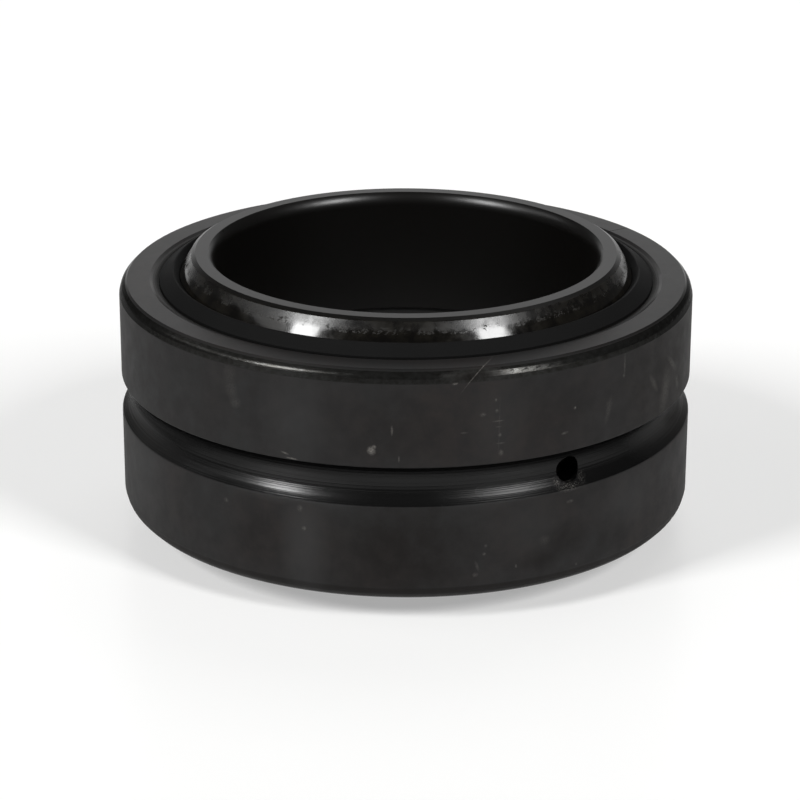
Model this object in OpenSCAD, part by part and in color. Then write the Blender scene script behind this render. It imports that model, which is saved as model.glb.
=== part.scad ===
// Radial spherical plain bearing, steel on steel, sealed on both sides.
// A split outer ring holds an inner ring with a spherical outside, and an elastomer lip seal
// closes the gap at each end. Millimetres, +Z along the shaft bore, front towards -Y.
// The origin is the centre of the sphere.

/* [Main sizes] */
// Diameter of the shaft bore
bore_d = 60; // [56:0.5:60.5]
// Diameter of the housing seat
outer_d = 90; // [89:0.5:94]
// Width of the inner ring
inner_width = 44; // [43:0.5:44.5]
// Width of the outer ring
outer_width = 36; // [35:0.5:37]
// Wall of the outer ring between the housing seat and the raceway
ring_wall = 5; // [4.8:0.1:5.2]

/* [Housing seat] */
// Radial size of the steep part of the lead-in at each end of the seat
lead_steep = 0.95; // [0.7:0.05:1.1]
// Radial size of the shallow part of that lead-in
lead_shallow = 0.3; // [0.2:0.05:0.4]
// Angle of the shallow part to the axis, in degrees
lead_angle = 15; // [12:1:20]
// Radius that blends the two parts
lead_round = 1.5; // [0.8:0.1:2]
// Width of the lubrication groove round the seat
groove_width = 6.2; // [5:0.1:7]
// Depth of that groove
groove_depth = 1.7; // [1.2:0.1:2]
// Size of the broken edges of that groove, along the seat
groove_break = 0.1; // [0.05:0.01:0.15]
// Diameter of each lubrication hole in the outer ring
hole_d = 4; // [3:0.1:4.4]
// Distance of the holes below the middle of the groove
hole_drop = 0.45; // [0:0.05:0.5]
// Angle of the first hole from the front, towards the right, in degrees
hole_angle = 33.5; // [0:0.5:60]

/* [Raceway and split] */
// Running gap between the two spheres
raceway_gap = 0.05; // [0.03:0.01:0.08]
// Width of the lubricant groove round the middle of the raceway
raceway_groove_width = 4; // [3:0.1:4.5]
// Depth of that groove
raceway_groove_depth = 0.8; // [0.5:0.05:1]
// Opening of the crack through the outer ring
split_gap = 0.12; // [0.1:0.01:0.2]
// Angle of the crack from the first hole, in degrees
split_from_hole = 90; // [60:1:120]

/* [Inner ring] */
// Radial size of the rounded lead-in at each end of the bore
bore_lead_radial = 1; // [0.6:0.05:1.1]
// Length of that lead-in along the bore
bore_lead_axial = 2; // [1.5:0.1:2.5]
// Width of the broken edge between the end face and the sphere, across the face
edge_break = 0.4; // [0.3:0.05:0.5]
// Angle of that broken edge to the end face, in degrees
edge_break_angle = 33; // [28:1:40]
// Width of the lubrication groove round the bore
bore_groove_width = 4; // [3:0.1:5]
// Depth of that groove
bore_groove_depth = 1; // [0.7:0.05:1.2]
// Diameter of each lubrication hole in the inner ring
bore_hole_d = 4; // [3:0.1:4.5]

/* [Seals] */
// Depth of the shoulder round the seal below the end face of the outer ring
shoulder_depth = 0.25; // [0.2:0.05:0.35]
// Fall of that shoulder towards the seal, in degrees
shoulder_fall = 8; // [5:0.5:10]
// Radial size of the shoulder, with its bevel
shoulder = 1.5; // [1.3:0.05:1.6]
// Radial size of the bevel between the shoulder and the end face
shoulder_bevel = 0.5; // [0.4:0.05:0.6]
// Thickness of the ledge that keeps the seal in its groove
ledge = 1.85; // [1.7:0.05:2]
// Width of the seal groove along the axis
seal_groove_width = 2.7; // [2.4:0.1:2.9]
// Height of the ledge above the floor of the seal groove
ledge_height = 1.9; // [1.5:0.1:2.1]
// Distance of the ledge's edge inside the sphere radius
ledge_inset = 1.3; // [1.1:0.05:1.4]
// Gap round the bead of the seal in its groove
bead_gap = 0.05; // [0.03:0.01:0.08]
// Gap between the lips and the sphere
lip_gap = 0.04; // [0.03:0.01:0.06]
// Height of the seal's outer edge above the shoulder
seal_step = 0.25; // [0.2:0.05:0.3]
// Distance of the seal's ridge inside the sphere radius
ridge_inset = 3.5; // [3.3:0.05:3.7]
// Radius of that ridge
ridge_round = 0.25; // [0.15:0.05:0.35]
// Slope of the seal from its outer edge up to the ridge, in degrees
seal_slope = 36.5; // [34:0.5:39]
// Slope of the flank from the ridge down to the sphere, in degrees
flank_slope = 45; // [42:1:52]
// Radius of the hollow between the two lips
lip_hollow = 0.6; // [0.4:0.05:0.8]

/* [Hidden] */
$fn = 180;
reach = 1;

outer_r = outer_d / 2;
bore_r = bore_d / 2;
sphere_r = outer_r - ring_wall;
raceway_r = sphere_r + raceway_gap;
outer_half = outer_width / 2;
inner_half = inner_width / 2;
split_angle = hole_angle + split_from_hole;

// lead-in of the housing seat: face edge, corner between the two parts, start of the seat
face_r = outer_r - lead_steep - lead_shallow;
corner_r = outer_r - lead_shallow;
corner_z = outer_half - lead_steep;
seat_z = corner_z - lead_shallow / tan(lead_angle);

// rounding of that corner: its length along the shallow part and the centre of its arc
steep_angle = 45;
corner_touch = lead_round * tan((steep_angle - lead_angle) / 2);
corner_centre = [corner_r, corner_z]
    + corner_touch * [sin(lead_angle), -cos(lead_angle)]
    - lead_round * [cos(lead_angle), sin(lead_angle)];

// broken edges of the groove round the seat: their angle, and how deep and high their cut reaches
groove_break_angle = 30;
groove_break_z = groove_width / 2 + groove_break;
groove_break_r = outer_r - groove_depth / 2;
groove_break_in = groove_break_z - groove_depth / 2 / tan(groove_break_angle);
groove_break_out = groove_break_z + reach / tan(groove_break_angle);

// arcs of the lubrication grooves, from their widths and depths
function arc_r(width, depth) = (width * width / 4 + depth * depth) / (2 * depth);
groove_arc = arc_r(groove_width, groove_depth);
raceway_arc = arc_r(raceway_groove_width, raceway_groove_depth);
bore_arc = arc_r(bore_groove_width, bore_groove_depth);

// seal groove in the outer ring, upper end
ledge_r = sphere_r - ledge_inset;
shoulder_r = ledge_r + shoulder;
seal_floor_r = ledge_r + ledge_height;
shoulder_z = outer_half - shoulder_depth;
shoulder_low_z = shoulder_z - (shoulder - shoulder_bevel) * tan(shoulder_fall);
ledge_low_z = shoulder_low_z - ledge;
seal_low_z = ledge_low_z - seal_groove_width;
inside_r = sphere_r * 0.88;

// outline of one seal: bead, neck, slope, rounded ridge and flank with the tip of its lip
lip_r = sphere_r + lip_gap;
bead_r = seal_floor_r - bead_gap;
neck_r = ledge_r - bead_gap;
bead_low_z = seal_low_z + bead_gap;
bead_high_z = ledge_low_z - bead_gap;
edge_z = shoulder_low_z + seal_step;
apex_r = sphere_r - ridge_inset;
apex = [apex_r, edge_z + (neck_r - apex_r) * tan(seal_slope)];
slope_out = [sin(seal_slope), cos(seal_slope)];
flank_out = [-sin(flank_slope), cos(flank_slope)];
ridge = apex - ridge_round * (slope_out + flank_out) / (1 + slope_out * flank_out);
ridge_spread = 3;
flank_foot = [inside_r, apex[1] - (apex_r - inside_r) * tan(flank_slope)];
flank_way = -[cos(flank_slope), sin(flank_slope)];
apex_over = apex * flank_way;
flank_length = -apex_over - sqrt(apex_over * apex_over - apex * apex + lip_r * lip_r);
lip_tip = apex + flank_length * flank_way;
hollow_angle = (acos(bead_low_z / lip_r) + acos(lip_tip[1] / lip_r)) / 2;

// rounded lead-in of the bore
bore_lead_round = (bore_lead_radial * bore_lead_radial + bore_lead_axial * bore_lead_axial)
    / (2 * bore_lead_radial);
bore_lead_z = inner_half - bore_lead_axial;

// broken edge of the inner ring
inner_face_r = sqrt(sphere_r * sphere_r - inner_half * inner_half) - edge_break;
break_out = 4;
break_r = inner_face_r + break_out;
break_z = inner_half - break_out * tan(edge_break_angle);

// course of the crack: sideways offsets at even steps along the axis
split_course = [0, 0.1, -0.08, 0.14, 0.02, -0.16, 0.06, 0.18, -0.04, 0.1, -0.12, 0.04, 0];
split_steps = len(split_course) - 1;
split_half = outer_half + reach;

// what the rounding takes off the corner of the upper lead-in
module lead_corner() {
    difference() {
        polygon([
            corner_centre,
            corner_centre + (lead_round + reach) * [sin(steep_angle), cos(steep_angle)],
            corner_centre + (lead_round + reach) * [cos(lead_angle), sin(lead_angle)]
        ]);
        translate(corner_centre)
            circle(r = lead_round);
    }
}

// section of the outer ring before the raceway and grooves are cut
module outer_blank() {
    polygon([
        [inside_r, -seal_low_z],
        [inside_r, seal_low_z],
        [seal_floor_r, seal_low_z],
        [seal_floor_r, ledge_low_z],
        [ledge_r, ledge_low_z],
        [ledge_r, shoulder_low_z],
        [shoulder_r - shoulder_bevel, shoulder_z],
        [shoulder_r, outer_half],
        [face_r, outer_half],
        [corner_r, corner_z],
        [outer_r, seat_z],
        [outer_r, -seat_z],
        [corner_r, -corner_z],
        [face_r, -outer_half],
        [shoulder_r, -outer_half],
        [shoulder_r - shoulder_bevel, -shoulder_z],
        [ledge_r, -shoulder_low_z],
        [ledge_r, -ledge_low_z],
        [seal_floor_r, -ledge_low_z],
        [seal_floor_r, -seal_low_z]
    ]);
}

// what breaking its edges takes off the groove round the seat
module groove_edges() {
    polygon([
        [groove_break_r, -groove_break_in],
        [outer_r + reach, -groove_break_out],
        [outer_r + reach, groove_break_out],
        [groove_break_r, groove_break_in]
    ]);
}

// finished section of the outer ring
module outer_section() {
    difference() {
        outer_blank();
        lead_corner();
        mirror([0, 1])
            lead_corner();
        circle(r = raceway_r);
        translate([outer_r - groove_depth + groove_arc, 0])
            circle(r = groove_arc);
        groove_edges();
        translate([raceway_r + raceway_groove_depth - raceway_arc, 0])
            circle(r = raceway_arc);
    }
}

// two opposite lubrication holes
module seat_holes() {
    for (turn = [0, 180])
        rotate([0, 0, hole_angle + turn])
            translate([0, 0, -hole_drop])
                rotate([90, 0, 0])
                    cylinder(d = hole_d, h = outer_r + reach);
}

// crack through the wall, where the ring is broken open so that it can be sprung over the sphere
module split() {
    step = 2 * split_half / split_steps;
    rotate([0, 0, split_angle])
        rotate([90, 0, 0])
            linear_extrude(height = outer_r + reach)
                polygon(concat(
                    [for (i = [0 : split_steps])
                        [split_course[i] - split_gap / 2, i * step - split_half]],
                    [for (i = [split_steps : -1 : 0])
                        [split_course[i] + split_gap / 2, i * step - split_half]]
                ));
}

// split outer ring of coated bearing steel
module outer_ring() {
    color([0.17, 0.165, 0.16])
        difference() {
            rotate_extrude()
                outer_section();
            seat_holes();
            split();
        }
}

// section of the inner ring before its bore is rounded at the ends
module inner_blank() {
    intersection() {
        circle(r = sphere_r);
        polygon([
            [bore_r, -inner_half],
            [inner_face_r, -inner_half],
            [break_r, -break_z],
            [sphere_r + reach, -break_z],
            [sphere_r + reach, break_z],
            [break_r, break_z],
            [inner_face_r, inner_half],
            [bore_r, inner_half]
        ]);
    }
}

// corner that the rounded lead-in takes off the upper end of the bore
module bore_corner() {
    difference() {
        translate([bore_r - reach, bore_lead_z])
            square([reach + bore_lead_radial, bore_lead_axial + reach]);
        translate([bore_r + bore_lead_round, bore_lead_z])
            circle(r = bore_lead_round);
    }
}

// finished section of the inner ring
module inner_section() {
    difference() {
        inner_blank();
        bore_corner();
        mirror([0, 1])
            bore_corner();
        translate([bore_r + bore_groove_depth - bore_arc, 0])
            circle(r = bore_arc);
    }
}

// inner ring with a spherical outside and a shaft bore
module inner_ring() {
    color([0.15, 0.15, 0.15])
        difference() {
            rotate_extrude()
                inner_section();
            for (turn = [90, -90])
                rotate([0, 0, turn])
                    rotate([90, 0, 0])
                        cylinder(d = bore_hole_d, h = outer_r);
        }
}

// what the rounding takes off the ridge of the upper seal
module ridge_corner() {
    difference() {
        polygon([
            ridge,
            ridge + ridge_spread * ridge_round * slope_out,
            ridge + ridge_spread * (apex - ridge),
            ridge + ridge_spread * ridge_round * flank_out
        ]);
        translate(ridge)
            circle(r = ridge_round);
    }
}

// section of one seal at the upper end
module seal_section() {
    difference() {
        polygon([
            [inside_r, bead_low_z],
            [bead_r, bead_low_z],
            [bead_r, bead_high_z],
            [neck_r, bead_high_z],
            [neck_r, edge_z],
            apex,
            flank_foot
        ]);
        ridge_corner();
        circle(r = lip_r);
        translate(lip_r * [sin(hollow_angle), cos(hollow_angle)])
            circle(r = lip_hollow);
    }
}

// seal in the upper end of the outer ring
module upper_seal() {
    color([0.06, 0.06, 0.06])
        rotate_extrude()
            seal_section();
}

// the same seal in the lower end
module lower_seal() {
    color([0.06, 0.06, 0.06])
        mirror([0, 0, 1])
            rotate_extrude()
                seal_section();
}

outer_ring();
inner_ring();
upper_seal();
lower_seal();
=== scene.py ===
"""Looks of a sealed spherical plain bearing: split outer ring, ball-shaped inner ring and two lip seals."""

import math

import bpy
from bpy.props import FloatProperty, PointerProperty, StringProperty
from mathutils import Euler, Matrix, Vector


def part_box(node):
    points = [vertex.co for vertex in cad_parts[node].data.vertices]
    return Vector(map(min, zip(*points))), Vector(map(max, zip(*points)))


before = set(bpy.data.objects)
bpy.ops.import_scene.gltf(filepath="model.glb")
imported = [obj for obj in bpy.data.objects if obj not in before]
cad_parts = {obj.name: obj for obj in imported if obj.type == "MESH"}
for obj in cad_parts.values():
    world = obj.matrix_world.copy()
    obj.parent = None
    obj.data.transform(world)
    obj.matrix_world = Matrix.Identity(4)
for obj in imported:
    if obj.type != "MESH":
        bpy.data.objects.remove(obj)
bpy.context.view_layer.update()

bl_info = {
    "name": "Spherical plain bearing",
    "version": (1, 0, 0),
    "blender": (4, 5, 0),
    "location": "View3D > Sidebar > Bearing",
    "description": "Dresses the rings and seals of a spherical plain bearing and sets up its studio",
    "category": "Object",
}

MM = 0.001

# Sizes in mm that the finishes go by, read off the parts in model.glb: radius of the housing seat and of the
# sphere, and height of the end faces of the inner and of the outer ring.
SEAT_R = round(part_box("outer_ring")[1].x / MM, 2)
SPHERE_R = round(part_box("inner_ring")[1].y / MM, 2)
FACE_Z = round(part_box("inner_ring")[1].z / MM, 2)
RING_Z = round(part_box("outer_ring")[1].z / MM, 2)

# Also in mm: length of the lead-in at each end of the seat and height at which the upper one starts, half the
# width of the lubrication groove with its edges, its depth with some room, how far from the end face the
# lapping of the sphere stops, and how much that line waves.
LEAD = 2.07
LEAD_Z = RING_Z - LEAD
GROOVE_HALF = 3.4
GROOVE_DEPTH = 1.8
LAP_STOP = 1.7
LAP_WAVE = 0.9

# Where one finish goes over into the next, in mm: the groove and the sphere by radius, the others by height.
# The taper is the part of the lead-in next to the seat, and on the lower lead-in shade is painted.
GROOVE_AT = {"From Min": SEAT_R - 0.02, "From Max": SEAT_R - 0.12}
SPHERE_AT = {"From Min": SPHERE_R - 0.12, "From Max": SPHERE_R - 0.04}
LEAD_AT = {"From Min": LEAD_Z, "From Max": LEAD_Z + 0.15}
TAPER_AT = {"From Min": LEAD_Z + 1.0, "From Max": LEAD_Z + 0.6}
FACE_AT = {"From Min": RING_Z - 0.35, "From Max": RING_Z - 0.2}
SHADED_LOWER_LEAD_AT = {"From Min": -LEAD_Z, "From Max": -LEAD_Z - 0.3, "To Max": 0.8}

# Grain of the outer ring in mm: clouds that the phosphate bath leaves and patches in them, flakes of the thin
# coat, crystals of the coat, grit that has scuffed it, and turning lines. Real crystals and lines are finer;
# these are as coarse as they need to be to show.
CLOUD = 16
PATCH = 3
FLAKE = 0.8
CRYSTAL = 0.25
GRIT = 0.16
TURNING_LINE = 0.25

# Grain of the inner ring in mm: patches, crystals and lapping lines, again as coarse as they need to be.
LAPPED_PATCH = 2.5
LAPPED_CRYSTAL = 0.35
LAPPING_LINE = 0.4

# Grain of the seals in mm: clouds of dust, and the moulded skin.
DUST = 6
SKIN = 0.3

# Depth of the fine relief in mm, on coated and on lapped steel and on rubber.
COAT_RELIEF = 0.006
LAPPED_RELIEF = 0.005
SKIN_RELIEF = 0.006

# Roughness of each surface, with a low and a high value where it goes with the patches of the finish.
GROUND_ROUGH = {"To Min": 0.56, "To Max": 0.64}
TURNED_ROUGH = 0.21
TAPER_ROUGH = 0.34
FACE_ROUGH = 0.32
OIL_ROUGH = 0.65
HOLLOW_ROUGH = 0.8
LAPPED_ROUGH = {"To Min": 0.08, "To Max": 0.18}
UNLAPPED_ROUGH = {"To Min": 0.22, "To Max": 0.34}
PIT_ROUGH = 0.8
BORE_ROUGH = 0.32
RUBBER_ROUGH = {"To Min": 0.55, "To Max": 0.7}
FLOOR_ROUGH = {"To Min": 0.28, "To Max": 0.34}

# How much of the steel shows through the coat, on turned surfaces and on the end faces of the outer ring, and
# the tint edge-on where the coat is thick.
TURNED_STEEL = 0.8
FACE_STEEL = {"To Min": 0.55, "To Max": 0.25}
NO_TINT = "#ffffff"

# Softboxes: way round from the front, rise, width and height in degrees, and their distance in metres.
SOFTBOXES = {
    "left": (-56, 38, 12, 20),
    "right": (48, 38, 13, 20),
    "dim": (-86, 32, 46, 14),
    "back": (165, 55, 34, 26),
}
SOFTBOX_AWAY = 6.0

# The white wall, by how far a direction points to the back and up: where it starts and where it is full.
WALL_BACK = {"From Min": 0.86, "From Max": 0.94}
WALL_UP = {"From Min": 0.6, "From Max": 0.4}

# Width of the camera's sensor in mm.
SENSOR = 36.0

# Where a mark starts and where it has its full strength, in half sizes from its middle.
MARK_FADE = {"From Min": 1.3, "From Max": 0.3}

# Marks on the housing seat: angle from the front in degrees, height on the seat in mm (past the end of the
# seat it runs on inwards over the lead-in and the end face), half length and half height in mm, turn of the
# mark in degrees, and its strength. The lists are coat rubbed away, scuffs round the hole, dark stains with
# painted shade, painted sheen, and brown oil with painted shade in the groove and on the lead-in.
RUBS = (
    (-6.4, 5.7, 0.55, 0.62, 20, 0.95),
    (-5.9, 6.3, 0.30, 0.30, 0, 0.80),
    (-2.6, 8.9, 0.17, 0.70, 0, 0.45),
    (-1.3, 4.5, 0.10, 0.45, 0, 0.50),
    (33.4, 9.7, 0.20, 0.20, 0, 0.95),
    (31.2, 6.1, 0.55, 0.22, 8, 0.40),
    (-23.1, 4.0, 0.60, 0.14, -14, 0.60),
    (-21.7, 3.3, 0.90, 0.12, -4, 0.90),
    (16.8, 13.0, 0.16, 0.22, 0, 0.45),
    (17.0, 11.3, 0.24, 0.30, 0, 0.30),
    (17.3, 9.7, 0.85, 0.10, 0, 0.36),
    (17.4, 8.8, 0.45, 0.10, 0, 0.28),
    (17.6, 7.5, 0.26, 0.30, 0, 0.36),
    (17.8, 6.2, 0.60, 0.12, 0, 0.32),
    (17.9, 4.7, 0.34, 0.44, 0, 0.36),
    (17.5, 8.8, 0.10, 4.60, -1, 0.10),
    (14.3, 10.9, 0.45, 0.30, 10, 0.30),
    (10.8, 8.3, 0.50, 0.14, 0, 0.28),
    (15.2, -9.8, 0.22, 0.20, 0, 0.30),
    (14.9, -11.1, 0.26, 0.24, 0, 0.30),
    (13.5, -12.9, 0.22, 0.80, 18, 0.20),
    (13.2, -14.3, 0.40, 0.34, 0, 0.22),
    (46.0, 14.1, 0.20, 1.80, 0, 0.24),
    (45.9, 12.5, 0.26, 0.30, 0, 0.36),
    (41.8, 7.9, 0.50, 2.00, -14, 0.16),
    (42.0, 8.8, 0.70, 0.60, 0, 0.14),
    (56.0, 9.0, 0.50, 1.90, 38, 0.20),
    (61.0, 6.7, 1.40, 3.60, -16, 0.20),
    (64.2, 10.2, 0.50, 2.50, 50, 0.22),
    (67.5, 6.3, 0.60, 1.40, 29, 0.22),
    (-35.1, 14.4, 1.10, 1.60, 0, 0.10),
    (-34.7, 12.2, 1.00, 1.50, 12, 0.13),
    (-33.8, 10.4, 0.90, 0.80, 30, 0.16),
    (-36.4, -5.6, 0.40, 0.34, 0, 0.30),
    (-19.4, -7.5, 0.32, 0.32, 0, 0.45),
    (-20.2, -4.4, 0.40, 0.50, 0, 0.28),
    (21.3, -13.7, 0.12, 0.26, 0, 0.70),
    (34.6, -15.5, 0.16, 0.22, 0, 0.45),
    (32.8, -5.0, 0.60, 0.24, 0, 0.30),
    (27.3, -10.3, 0.90, 0.70, 0, 0.12),
    (9.0, 16.0, 0.40, 0.20, 12, 0.70),
    (14.4, 18.8, 0.07, 4.70, -38, 0.70),
)
SCUFFS = (
    (32.8, -2.75, 2.00, 0.60, 0, 1.00),
    (30.6, -2.1, 0.60, 0.90, 24, 0.80),
    (36.4, -2.1, 0.70, 1.00, -30, 0.60),
)
# Small brown stains in the coat, and painted shade: the large marks darken the lower land, the middle of the
# upper land and the right end of the upper land.
STAINS_AND_SHADE = (
    (-1.0, -10.5, 11.0, 9.00, 0, 0.90),
    (-29.0, -10.0, 4.50, 5.00, 0, 0.60),
    (32.0, -11.0, 3.60, 2.80, 10, 0.70),
    (26.5, -13.2, 3.40, 1.80, 0, 0.70),
    (45.0, -12.0, 4.00, 3.00, 0, 0.50),
    (-1.0, 8.5, 9.00, 7.00, 0, 0.40),
    (30.0, 9.0, 6.00, 5.00, 0, 0.30),
    (68.0, 9.5, 16.0, 11.0, 0, 1.00),
)
# Painted sheen: pale patches of painted reflection on the ground seat, and in the last two rows brighter
# steel that paints stronger highlights in the groove.
PAINTED_SHEENS = (
    (-19.3, -9.5, 3.40, 9.00, 0, 0.55),
    (-21.5, 9.5, 4.60, 8.00, 0, 0.40),
    (17.5, 9.5, 3.80, 7.50, 0, 0.25),
    (24.0, -7.0, 5.00, 5.00, 0, 0.25),
    (49.0, -8.0, 6.00, 5.00, 0, 0.35),
    (-64.0, -8.0, 9.00, 9.00, 0, 0.40),
    (-22.0, -1.6, 10.0, 2.20, 0, 1.00),
    (18.0, -1.6, 9.00, 2.20, 0, 0.50),
)
# Brown oil, most of it painted shade that dims the reflections at both ends of the groove and the highlight
# in the groove on the right; the last row is dark coat on the lead-in that also dims part of its highlight.
OIL_AND_SHADE = (
    (76.0, 0.0, 17.0, 4.50, 0, 1.00),
    (-66.0, -2.2, 14.0, 1.60, 0, 0.60),
    (19.0, -1.6, 9.00, 2.80, 0, 0.18),
    (13.0, 17.3, 4.50, 1.30, 0, 0.70),
)


def linear(code):
    """Linear colour, with alpha, of an sRGB hex code such as "#1c1b1a"."""
    parts = [int(code[i:i + 2], 16) / 255 for i in (1, 3, 5)]
    return [p / 12.92 if p <= 0.04045 else ((p + 0.055) / 1.055) ** 2.4 for p in parts] + [1.0]


def add(tree, kind, sets=None, feeds=None, out=0):
    """Adds a node, sets its settings or input values, feeds inputs from sockets and hands back one output.
    A Mix node has its share at input 0, its two numbers at 2 and 3 and its two colours at 6 and 7, and hands
    back a number at output 0 and a colour at output 2."""
    node = tree.nodes.new("ShaderNode" + kind)
    for key, value in (sets or {}).items():
        if isinstance(key, str) and hasattr(node, key):
            setattr(node, key, value)
        else:
            node.inputs[key].default_value = value
    for key, socket in (feeds or {}).items():
        tree.links.new(socket, node.inputs[key])
    return node.outputs[out] if node.outputs else None


def new_tree(owner):
    """The empty node tree of a new material or world."""
    owner.use_nodes = True
    owner.node_tree.nodes.clear()
    return owner.node_tree


def millimetres(tree):
    """Socket with a point's place on its piece, in mm."""
    spot = add(tree, "TexCoord", out="Object")
    return add(tree, "VectorMath", {"operation": "SCALE", "Scale": 1 / MM}, {0: spot})


def ring_places(tree, point):
    """Sockets with a point's distance from the ring's axis, its height, and its distance from the middle."""
    flat = add(tree, "VectorMath", {"operation": "MULTIPLY", 1: (1, 1, 0)}, {0: point})
    radius = add(tree, "VectorMath", {"operation": "LENGTH"}, {0: flat}, "Value")
    height = add(tree, "SeparateXYZ", feeds={0: point}, out="Z")
    return radius, height, add(tree, "Math", {"operation": "ABSOLUTE"}, {0: height})


def seat_place(tree, point, radius, height):
    """Socket with a point's place on the unrolled seat: way round, height, and 1 if it lies deep inside."""
    x, y, _ = add(tree, "SeparateXYZ", feeds={0: point}).node.outputs
    front = add(tree, "Math", {"operation": "MULTIPLY", 1: -1.0}, {0: y})
    angle = add(tree, "Math", {"operation": "ARCTAN2"}, {0: x, 1: front})
    round_way = add(tree, "Math", {"operation": "MULTIPLY", 1: SEAT_R}, {0: angle})
    inward = add(tree, "Math", {"operation": "SUBTRACT", 0: SEAT_R}, {1: radius})
    past_seat = add(tree, "Math", {"operation": "GREATER_THAN", 1: LEAD_Z}, {0: height})
    upward = add(tree, "Math", {"operation": "MULTIPLY_ADD"}, {0: inward, 1: past_seat, 2: height})
    below = add(tree, "Math", {"operation": "GREATER_THAN", 1: GROOVE_DEPTH}, {0: inward})
    inside = add(tree, "Math", {"operation": "SUBTRACT", "use_clamp": True}, {0: below, 1: past_seat})
    return add(tree, "CombineXYZ", feeds={0: round_way, 1: upward, 2: inside})


def marks(tree, on_seat, shapes):
    """Socket with the strength of the marks in a list, each an oval that fades at its rim."""
    total = None
    for angle, place, long, high, turn, strength in shapes:
        # the small third size keeps the mark off what lies deep inside
        spot = (math.radians(angle) * SEAT_R, place, 0)
        local = add(tree, "Mapping", {"vector_type": "TEXTURE", "Location": spot, "Scale": (long, high, 0.1),
                                      "Rotation": (0, 0, math.radians(turn))}, {"Vector": on_seat})
        away = add(tree, "VectorMath", {"operation": "LENGTH"}, {0: local}, "Value")
        oval = add(tree, "MapRange", {**MARK_FADE, "To Max": strength}, {"Value": away})
        total = add(tree, "Math", {"operation": "MAXIMUM"}, {0: total, 1: oval}) if total else oval
    return total


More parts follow.
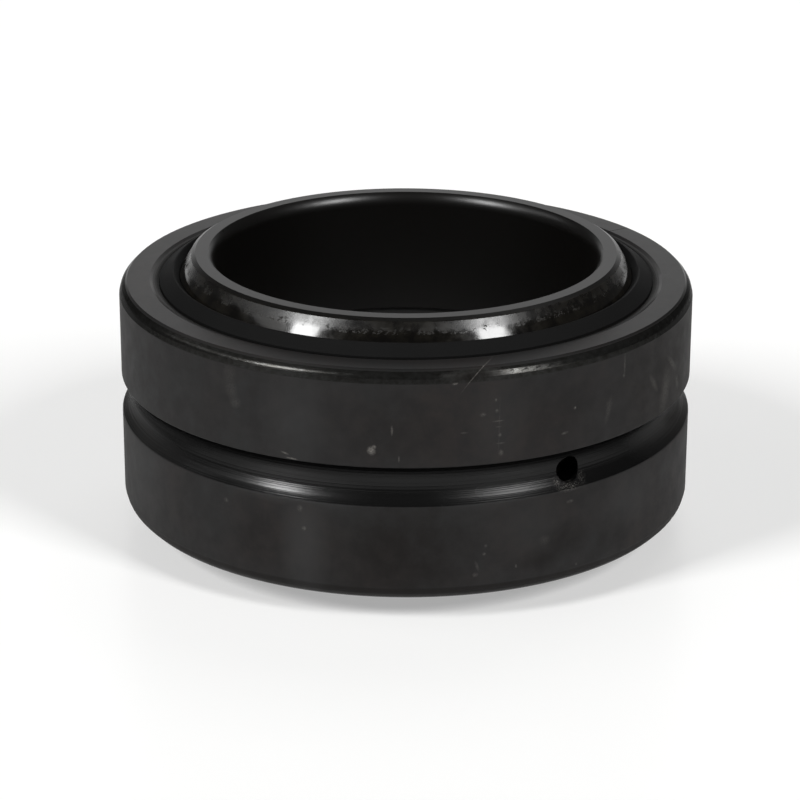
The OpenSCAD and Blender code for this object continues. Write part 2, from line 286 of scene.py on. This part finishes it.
def seat_steel(finish):
    """Manganese phosphated bearing steel, ground or turned and then coated: near black and matt on the ground
    seat, with faint brown clouds and small pale rubs in the coat. On the turned groove and lead-in the coat
    is thinner: the dark gloss of the steel shows through it, in fine lines and in the flakes of the coat."""
    material = bpy.data.materials.new("Phosphated bearing steel, ground and turned")
    tree = new_tree(material)
    point = millimetres(tree)
    radius, height, far = ring_places(tree, point)
    on_seat = seat_place(tree, point, radius, height)

    # what the surface is: 1 in the turned groove, on the ground end faces, on the turned upper lead-in and on
    # its taper, and deep inside
    low = add(tree, "MapRange", GROOVE_AT, {"Value": radius})
    middle = add(tree, "Math", {"operation": "LESS_THAN", 1: GROOVE_HALF}, {0: far})
    groove = add(tree, "Math", {"operation": "MULTIPLY"}, {0: low, 1: middle})
    past_seat = add(tree, "MapRange", LEAD_AT, {"Value": height})
    face = add(tree, "MapRange", FACE_AT, {"Value": far})
    lead = add(tree, "Math", {"operation": "SUBTRACT", "use_clamp": True}, {0: past_seat, 1: face})
    taper = add(tree, "MapRange", TAPER_AT, {"Value": height})
    taper = add(tree, "Math", {"operation": "MULTIPLY"}, {0: taper, 1: lead})
    turned = add(tree, "Math", {"operation": "MAXIMUM"}, {0: groove, 1: lead})
    deep = add(tree, "SeparateXYZ", feeds={0: on_seat}, out="Z")

    # brown clouds with patches in them, stains with painted shade, and painted shade on the lower lead-in
    clouds = add(tree, "TexNoise", {"Scale": 1 / CLOUD, "Detail": 3.0, "Roughness": 0.55}, {"Vector": point})
    patches = add(tree, "TexNoise", {"Scale": 1 / PATCH, "Detail": 4.0, "Roughness": 0.65}, {"Vector": point})
    cloudy = add(tree, "MapRange", {"From Min": 0.42, "From Max": 0.62}, {"Value": clouds})
    patchy = add(tree, "MapRange", {"From Min": 0.35, "From Max": 0.65}, {"Value": patches})
    coat = add(tree, "Mix", {"data_type": "RGBA", 6: linear(finish.coat), 7: linear(finish.cloud)},
               {0: cloudy}, 2)
    coat = add(tree, "Mix", {"data_type": "RGBA", 7: linear(finish.coat_deep)}, {0: patchy, 6: coat}, 2)
    uneven = add(tree, "MapRange", {"From Min": 0.3, "From Max": 0.6, "To Min": 0.65}, {"Value": patches})
    stain_and_shade = add(tree, "Math", {"operation": "MULTIPLY"}, {0: marks(tree, on_seat, STAINS_AND_SHADE), 1: uneven})
    coat = add(tree, "Mix", {"data_type": "RGBA", 7: linear(finish.stain_and_shade)}, {0: stain_and_shade, 6: coat}, 2)
    # painted shade: the lower lead-in mirrors the shaded floor under the ring
    painted_shade_below = add(tree, "MapRange", SHADED_LOWER_LEAD_AT, {"Value": height})
    coat = add(tree, "Mix", {"data_type": "RGBA", 7: linear(finish.stain_and_shade)}, {0: painted_shade_below, 6: coat}, 2)

    # the thin coat on turned surfaces, with darker flakes on the lead-in and dried oil with painted shade;
    # then painted sheen and painted highlights
    flakes = add(tree, "TexNoise", {"Scale": 1 / FLAKE, "Detail": 4.0, "Roughness": 0.7}, {"Vector": point})
    flaky = add(tree, "MapRange", {"From Min": 0.3, "From Max": 0.7}, {"Value": flakes})
    dark = add(tree, "Math", {"operation": "MULTIPLY"}, {0: flaky, 1: lead})
    thin = add(tree, "Mix", {"data_type": "RGBA", 6: linear(finish.thin), 7: linear(finish.worn)},
               {0: lead}, 2)
    thin = add(tree, "Mix", {"data_type": "RGBA", 7: linear(finish.flake)}, {0: dark, 6: thin}, 2)
    # dried oil and painted shade over reflections in the groove and on the lead-in
    oil_and_shade = marks(tree, on_seat, OIL_AND_SHADE)
    thin = add(tree, "Mix", {"data_type": "RGBA", 7: linear(finish.oil_and_shade)}, {0: oil_and_shade, 6: thin}, 2)
    coat = add(tree, "Mix", {"data_type": "RGBA"}, {0: turned, 6: coat, 7: thin}, 2)
    # painted sheen and painted highlights: lighter coat and brighter steel where reflections fall
    painted_sheen = marks(tree, on_seat, PAINTED_SHEENS)
    coat = add(tree, "Mix", {"data_type": "RGBA", 7: linear(finish.painted_sheen)}, {0: painted_sheen, 6: coat}, 2)

    # pale rubs, broken up by the crystals, and scuffs of grit; then painted shade deep inside the ring and
    # its holes
    crystals = add(tree, "TexNoise", {"Scale": 1 / CRYSTAL, "Detail": 3.0, "Roughness": 0.7},
                   {"Vector": point})
    broken = add(tree, "MapRange", {"From Min": 0.4, "From Max": 0.6, "To Min": 0.3}, {"Value": crystals})
    rub = add(tree, "Math", {"operation": "MULTIPLY"}, {0: marks(tree, on_seat, RUBS), 1: broken})
    grit = add(tree, "TexNoise", {"Scale": 1 / GRIT, "Detail": 2.0}, {"Vector": point})
    specks = add(tree, "MapRange", {"From Min": 0.5, "From Max": 0.62, "To Max": 0.7}, {"Value": grit})
    scuff = add(tree, "Math", {"operation": "MULTIPLY"}, {0: marks(tree, on_seat, SCUFFS), 1: specks})
    rub = add(tree, "Math", {"operation": "MAXIMUM"}, {0: rub, 1: scuff})
    coat = add(tree, "Mix", {"data_type": "RGBA", 7: linear(finish.rubbed)}, {0: rub, 6: coat}, 2)
    coat = add(tree, "Mix", {"data_type": "RGBA", 7: linear(finish.hollow_shade)}, {0: deep, 6: coat}, 2)

    # relief: turning lines, mostly in the groove, and crystals, mostly on the lead-in
    lines_at = add(tree, "CombineXYZ", feeds={0: radius, 1: height})
    lines = add(tree, "TexNoise", {"Scale": 1 / TURNING_LINE, "Detail": 2.0}, {"Vector": lines_at})
    line_share = add(tree, "MapRange", {"To Min": 0.2, "To Max": 20.0}, {"Value": groove})
    crystal_share = add(tree, "MapRange", {"To Min": 0.6, "To Max": 5.0}, {"Value": lead})
    relief = add(tree, "Math", {"operation": "MULTIPLY"}, {0: crystals, 1: crystal_share})
    relief = add(tree, "Math", {"operation": "MULTIPLY_ADD"}, {0: lines, 1: line_share, 2: relief})
    bump = add(tree, "Bump", {"Strength": 0.6, "Distance": COAT_RELIEF * MM}, {"Height": relief})

    # how much of the steel shows through: most on turned surfaces, some on end faces, less on rubs and under
    # the oil and painted shade
    shine = add(tree, "MapRange", {"From Min": 0.3, "From Max": 0.7, **FACE_STEEL}, {"Value": patches})
    metal = add(tree, "Math", {"operation": "MULTIPLY"}, {0: shine, 1: face})
    bare = add(tree, "MapRange", {"To Max": TURNED_STEEL}, {"Value": turned})
    metal = add(tree, "Math", {"operation": "MAXIMUM"}, {0: metal, 1: bare})
    metal = add(tree, "Math", {"operation": "SUBTRACT", "use_clamp": True}, {0: metal, 1: rub})
    metal = add(tree, "Math", {"operation": "SUBTRACT", "use_clamp": True}, {0: metal, 1: oil_and_shade})

    # roughness of each surface in turn
    gloss = add(tree, "MapRange", {"From Min": 0.3, "From Max": 0.7, **GROUND_ROUGH}, {"Value": patches})
    for share, rough in ((turned, TURNED_ROUGH), (taper, TAPER_ROUGH), (face, FACE_ROUGH),
                         (oil_and_shade, OIL_ROUGH), (deep, HOLLOW_ROUGH)):
        gloss = add(tree, "Mix", {"data_type": "FLOAT", 3: rough}, {0: share, 2: gloss})

    # the pores of the coat swallow most of the gloss that its IOR would give, and on turned surfaces much of
    # what steel shows edge-on
    edge = add(tree, "Mix", {"data_type": "RGBA", 6: linear(NO_TINT), 7: linear(finish.edge)},
               {0: turned}, 2)
    shader = add(tree, "BsdfPrincipled", {"Specular IOR Level": 0.11},
                 {"Base Color": coat, "Metallic": metal, "Roughness": gloss, "Normal": bump,
                  "Specular Tint": edge})
    add(tree, "OutputMaterial", feeds={"Surface": shader})
    return material


def sphere_steel(finish):
    """Phosphated bearing steel whose sphere is lapped and treated with a dry lubricant: black, with sharp
    bright reflections that break up on the crystals of the coat; rougher near the end face, where lapping
    stops."""
    material = bpy.data.materials.new("Phosphated bearing steel, lapped")
    tree = new_tree(material)
    point = millimetres(tree)
    radius, height, far = ring_places(tree, point)
    reach = add(tree, "VectorMath", {"operation": "LENGTH"}, {0: point}, "Value")
    on_sphere = add(tree, "MapRange", SPHERE_AT, {"Value": reach})

    # brownish patches and crystals of the coat
    patches = add(tree, "TexNoise", {"Scale": 1 / LAPPED_PATCH, "Detail": 4.0, "Roughness": 0.65},
                  {"Vector": point})
    crystals = add(tree, "TexNoise", {"Scale": 1 / LAPPED_CRYSTAL, "Detail": 3.0, "Roughness": 0.65},
                   {"Vector": point})
    patchy = add(tree, "MapRange", {"From Min": 0.4, "From Max": 0.65}, {"Value": patches})
    patchy = add(tree, "Math", {"operation": "MULTIPLY"}, {0: patchy, 1: on_sphere})
    colour = add(tree, "Mix", {"data_type": "RGBA", 6: linear(finish.sphere), 7: linear(finish.sphere_brown)},
                 {0: patchy}, 2)

    # lapped up to a wavy line near the end face, with groups of pits along that line
    wave = add(tree, "Math", {"operation": "MULTIPLY_ADD", 1: LAP_WAVE, 2: FACE_Z - LAP_STOP - LAP_WAVE / 2},
               {0: crystals})
    past = add(tree, "Math", {"operation": "SUBTRACT"}, {0: wave, 1: far})
    lapped = add(tree, "MapRange", {"From Min": -0.3, "From Max": 0.3}, {"Value": past})
    line_away = add(tree, "Math", {"operation": "ABSOLUTE"}, {0: past})
    near_line = add(tree, "MapRange", {"From Min": 0.5, "From Max": 0.25}, {"Value": line_away})
    deep = add(tree, "MapRange", {"From Min": 0.5, "From Max": 0.56}, {"Value": crystals})
    grouped = add(tree, "MapRange", {"From Min": 0.5, "From Max": 0.54}, {"Value": patches})
    pits = add(tree, "Math", {"operation": "MULTIPLY"}, {0: near_line, 1: deep})
    pits = add(tree, "Math", {"operation": "MULTIPLY"}, {0: pits, 1: grouped})

    # relief: lapping lines, crystals and pits
    lines_at = add(tree, "CombineXYZ", feeds={0: radius, 1: height})
    lines = add(tree, "TexNoise", {"Scale": 1 / LAPPING_LINE, "Detail": 2.0}, {"Vector": lines_at})
    relief = add(tree, "Math", {"operation": "MULTIPLY_ADD", 1: 0.5}, {0: lines, 2: crystals})
    relief = add(tree, "Math", {"operation": "MULTIPLY_ADD", 1: -0.6}, {0: pits, 2: relief})
    bump = add(tree, "Bump", {"Strength": 0.6, "Distance": LAPPED_RELIEF * MM}, {"Height": relief})

    # roughness: lapped, not lapped, in the pits, and off the sphere
    coarse = add(tree, "MapRange", {"From Min": 0.35, "From Max": 0.65, **UNLAPPED_ROUGH}, {"Value": patches})
    fine = add(tree, "MapRange", {"From Min": 0.35, "From Max": 0.7, **LAPPED_ROUGH}, {"Value": patches})
    gloss = add(tree, "Mix", {"data_type": "FLOAT"}, {0: lapped, 2: coarse, 3: fine})
    gloss = add(tree, "Mix", {"data_type": "FLOAT", 3: PIT_ROUGH}, {0: pits, 2: gloss})
    gloss = add(tree, "Mix", {"data_type": "FLOAT", 2: BORE_ROUGH}, {0: on_sphere, 3: gloss})

    # the dry lubricant takes a little of the gloss
    shader = add(tree, "BsdfPrincipled", {"Specular IOR Level": 0.39},
                 {"Base Color": colour, "Roughness": gloss, "Normal": bump})
    add(tree, "OutputMaterial", feeds={"Surface": shader})
    return material


def seal_rubber(finish):
    """Moulded nitrile rubber: deep black and matt, with a fine moulded skin and a trace of pale dust."""
    material = bpy.data.materials.new("Nitrile rubber, moulded")
    tree = new_tree(material)
    point = millimetres(tree)
    clouds = add(tree, "TexNoise", {"Scale": 1 / DUST, "Detail": 4.0}, {"Vector": point})
    colour = add(tree, "Mix", {"data_type": "RGBA", 6: linear(finish.rubber), 7: linear(finish.rubber_dusty)},
                 {0: clouds}, 2)
    skin = add(tree, "TexNoise", {"Scale": 1 / SKIN, "Detail": 3.0}, {"Vector": point})
    bump = add(tree, "Bump", {"Strength": 0.5, "Distance": SKIN_RELIEF * MM}, {"Height": skin})
    gloss = add(tree, "MapRange", RUBBER_ROUGH, {"Value": clouds})

    # the pores of the skin swallow most of the gloss that its IOR would give
    shader = add(tree, "BsdfPrincipled", {"IOR": 1.52, "Specular IOR Level": 0.08},
                 {"Base Color": colour, "Roughness": gloss, "Normal": bump})
    add(tree, "OutputMaterial", feeds={"Surface": shader})
    return material


def floor_paint(finish, lift):
    """Satin white studio board: white, with a soft trace of what stands on it. It is lifted a little for the
    camera and for reflections, so that the open floor shows white and the shadow stays."""
    material = bpy.data.materials.new("Painted board, rolled")
    tree = new_tree(material)

    # grain of the paint roller, about 1.1 mm
    spot = add(tree, "TexCoord", out="Object")
    grain = add(tree, "TexNoise", {"Scale": 900.0, "Detail": 2.0}, {"Vector": spot})
    gloss = add(tree, "MapRange", FLOOR_ROUGH, {"Value": grain})
    paint = add(tree, "BsdfPrincipled", {"Base Color": linear(finish.floor), "IOR": 1.45},
                {"Roughness": gloss})
    rays = add(tree, "LightPath").node.outputs
    seen = add(tree, "Math", {"operation": "MAXIMUM"}, {0: rays["Is Camera Ray"], 1: rays["Is Glossy Ray"]})
    seen = add(tree, "Math", {"operation": "MAXIMUM"}, {0: seen, 1: rays["Is Transmission Ray"]})
    level = add(tree, "Math", {"operation": "MULTIPLY", 1: lift}, {0: seen})
    glow = add(tree, "Emission", feeds={"Strength": level})
    both = add(tree, "AddShader", feeds={0: paint, 1: glow})
    add(tree, "OutputMaterial", feeds={"Surface": both})
    return material


def dress(node, material):
    """Gives a CAD node that material."""
    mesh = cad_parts[node].data
    mesh.materials.clear()
    mesh.materials.append(material)


class BearingFinish(bpy.types.PropertyGroup):
    """Colours of the bearing and its floor, as sRGB hex codes."""

    coat: StringProperty(name="Coat", description="Phosphate coat of the outer ring", default="#272727")
    coat_deep: StringProperty(name="Deep coat", description="Thicker patches of that coat", default="#232222")
    cloud: StringProperty(name="Cloud", description="Brownish clouds in that coat", default="#292625")
    # dark stains, and painted shade on the seat and on the lower lead-in
    stain_and_shade: StringProperty(name="Stain and shade", description="Dark stains on that coat", default="#171514")
    rubbed: StringProperty(name="Rubbed", description="Where the coat is rubbed away", default="#716e6a")
    thin: StringProperty(name="Thin coat", description="Coat on turned surfaces", default="#282828")
    worn: StringProperty(name="Worn coat", description="Coat on the lead-in", default="#393938")
    flake: StringProperty(name="Flake", description="Dark flakes of that coat", default="#242321")
    edge: StringProperty(name="Edge-on", description="Tint of turned surfaces edge-on", default="#202020")
    # painted sheen: pale coat and brighter steel where reflections and highlights fall
    painted_sheen: StringProperty(name="Painted sheen", description="Coat smoothed by handling", default="#353535")
    # dried oil, and painted shade over reflections on turned surfaces
    oil_and_shade: StringProperty(name="Oil and shade", description="Dried oil on turned surfaces", default="#0e0c0b")
    # painted shade deep inside the ring and its holes
    hollow_shade: StringProperty(name="Hollow shade", description="Coat deep inside the ring", default="#060606")
    sphere: StringProperty(name="Sphere", description="Lapped coat of the inner ring", default="#080706")
    sphere_brown: StringProperty(name="Brown sphere", description="Brownish patches of the lapped coat",
                                 default="#15130f")
    rubber: StringProperty(name="Rubber", description="Rubber of the seals", default="#0d0d0d")
    rubber_dusty: StringProperty(name="Dusty rubber", description="Rubber with dust on it", default="#101010")
    floor: StringProperty(name="Floor", description="Studio floor", default="#c8c8c7")


class BearingStudio(bpy.types.PropertyGroup):
    """Camera and light."""

    lens: FloatProperty(name="Lens", description="Focal length of the camera", default=134.44, unit="CAMERA")
    distance: FloatProperty(name="Distance", description="Camera to its aim", default=0.4775, unit="LENGTH")
    elevation: FloatProperty(name="Elevation", description="Camera above the horizon",
                             default=math.radians(20.736), subtype="ANGLE")
    roll: FloatProperty(name="Roll", description="Turn of the camera about its own line of sight",
                        default=math.radians(0.155), subtype="ANGLE")
    aim_x: FloatProperty(name="Aim X", description="Where the camera aims, to the side",
                         default=-0.877 * MM, unit="LENGTH")
    aim_z: FloatProperty(name="Aim Z", description="Where the camera aims, in height",
                         default=-3.358 * MM, unit="LENGTH")
    left_box: FloatProperty(name="Left softbox", description="Radiance of the left softbox",
                            default=33.0, min=0.0)
    right_box: FloatProperty(name="Right softbox", description="Radiance of the right one",
                             default=29.0, min=0.0)
    dim_box: FloatProperty(name="Dim softbox", description="Radiance of the dim one on the left",
                           default=1.7, min=0.0)
    back_box: FloatProperty(name="Back softbox", description="Radiance of the one behind the bearing",
                            default=1.6, min=0.0)
    backdrop: FloatProperty(name="Backdrop", description="Light of the white wall behind the bearing",
                            default=1.0, min=0.0)
    room: FloatProperty(name="Room", description="Light of the rest of the room", default=0.07, min=0.0)
    lift: FloatProperty(name="Floor lift", description="Light added to the floor as it is seen",
                        default=0.38, min=0.0)
    floor_side: FloatProperty(name="Floor", description="Side length of the floor",
                              default=40.0, unit="LENGTH")


class BEARING_OT_outer_ring(bpy.types.Operator):
    """Dresses the split outer ring"""

    bl_idname = "bearing.outer_ring"
    bl_label = "Outer ring"

    def execute(self, context):
        dress("outer_ring", seat_steel(context.scene.bearing_finish))
        return {"FINISHED"}


class BEARING_OT_inner_ring(bpy.types.Operator):
    """Dresses the inner ring"""

    bl_idname = "bearing.inner_ring"
    bl_label = "Inner ring"

    def execute(self, context):
        dress("inner_ring", sphere_steel(context.scene.bearing_finish))
        return {"FINISHED"}


class BEARING_OT_seals(bpy.types.Operator):
    """Dresses both lip seals"""

    bl_idname = "bearing.seals"
    bl_label = "Lip seals"

    def execute(self, context):
        rubber = seal_rubber(context.scene.bearing_finish)
        dress("upper_seal", rubber)
        dress("lower_seal", rubber)
        return {"FINISHED"}


class BEARING_OT_stage(bpy.types.Operator):
    """Sets up the floor, the light and the camera"""

    bl_idname = "bearing.stage"
    bl_label = "Studio"

    def execute(self, context):
        scene, studio = context.scene, context.scene.bearing_studio
        scene.view_settings.view_transform = "Standard"

        bpy.ops.mesh.primitive_plane_add(size=studio.floor_side, location=(0, 0, -FACE_Z * MM))
        floor = context.object
        floor.name = "studio_floor"
        floor.data.materials.append(floor_paint(scene.bearing_finish, studio.lift))

        # a dark room with a low white wall behind the bearing
        scene.world = bpy.data.worlds.new("Studio room")
        tree = new_tree(scene.world)
        way = add(tree, "SeparateXYZ", feeds={0: add(tree, "TexCoord", out="Generated")}).node.outputs
        soft = {"interpolation_type": "SMOOTHSTEP"}
        behind = add(tree, "MapRange", {**soft, **WALL_BACK}, {"Value": way["Y"]})
        below = add(tree, "MapRange", {**soft, **WALL_UP}, {"Value": way["Z"]})
        wall = add(tree, "Math", {"operation": "MULTIPLY"}, {0: behind, 1: below})
        level = add(tree, "MapRange", {"To Min": studio.room, "To Max": studio.backdrop}, {"Value": wall})
        add(tree, "OutputWorld", feeds={0: add(tree, "Background", feeds={"Strength": level})})

        # two softboxes in front, which the sphere, the groove and the lead-in mirror as bright strips, a dim
        # one on the left and one behind
        for name, degrees in SOFTBOXES.items():
            turn, rise, wide, tall = (math.radians(value) for value in degrees)
            lamp = bpy.data.lights.new("softbox_" + name, "AREA")
            lamp.shape = "RECTANGLE"
            lamp.size = 2 * SOFTBOX_AWAY * math.tan(wide / 2)
            lamp.size_y = 2 * SOFTBOX_AWAY * math.tan(tall / 2)
            lamp.energy = getattr(studio, name + "_box") * math.pi * lamp.size * lamp.size_y
            box = bpy.data.objects.new("softbox_" + name, lamp)
            level_way = Vector((math.sin(turn), -math.cos(turn), 0))
            box.location = (level_way * math.cos(rise) + Vector((0, 0, math.sin(rise)))) * SOFTBOX_AWAY
            box.rotation_euler = (-box.location).to_track_quat("-Z", "Y").to_euler()
            scene.collection.objects.link(box)

        lens = bpy.data.cameras.new("camera")
        lens.sensor_width = SENSOR
        lens.lens = studio.lens
        camera = bpy.data.objects.new("camera", lens)
        back = Vector((0, -math.cos(studio.elevation), math.sin(studio.elevation)))
        camera.location = Vector((studio.aim_x, 0, studio.aim_z)) + back * studio.distance
        pitch = Euler((math.pi / 2 - studio.elevation, 0, 0)).to_quaternion()
        camera.rotation_euler = (pitch @ Euler((0, 0, studio.roll)).to_quaternion()).to_euler()
        scene.collection.objects.link(camera)
        scene.camera = camera
        return {"FINISHED"}


class BEARING_PT_panel(bpy.types.Panel):
    """Lists the steps and settings"""

    bl_idname = "BEARING_PT_panel"
    bl_label = "Spherical plain bearing"
    bl_space_type = "VIEW_3D"
    bl_region_type = "UI"
    bl_category = "Bearing"

    def draw(self, context):
        column = self.layout.column()
        for step in STEPS:
            column.operator(step.bl_idname)
        for group in (context.scene.bearing_finish, context.scene.bearing_studio):
            for name in group.__annotations__:
                column.prop(group, name)


STEPS = (BEARING_OT_outer_ring, BEARING_OT_inner_ring, BEARING_OT_seals, BEARING_OT_stage)
CLASSES = (BearingFinish, BearingStudio) + STEPS + (BEARING_PT_panel,)


def register():
    for cls in CLASSES:
        bpy.utils.register_class(cls)
    bpy.types.Scene.bearing_finish = PointerProperty(type=BearingFinish)
    bpy.types.Scene.bearing_studio = PointerProperty(type=BearingStudio)


def unregister():
    del bpy.types.Scene.bearing_studio
    del bpy.types.Scene.bearing_finish
    for cls in reversed(CLASSES):
        bpy.utils.unregister_class(cls)


def main():
    register()
    bpy.ops.bearing.outer_ring()
    bpy.ops.bearing.inner_ring()
    bpy.ops.bearing.seals()
    bpy.ops.bearing.stage()


if __name__ == "__main__":
    main()
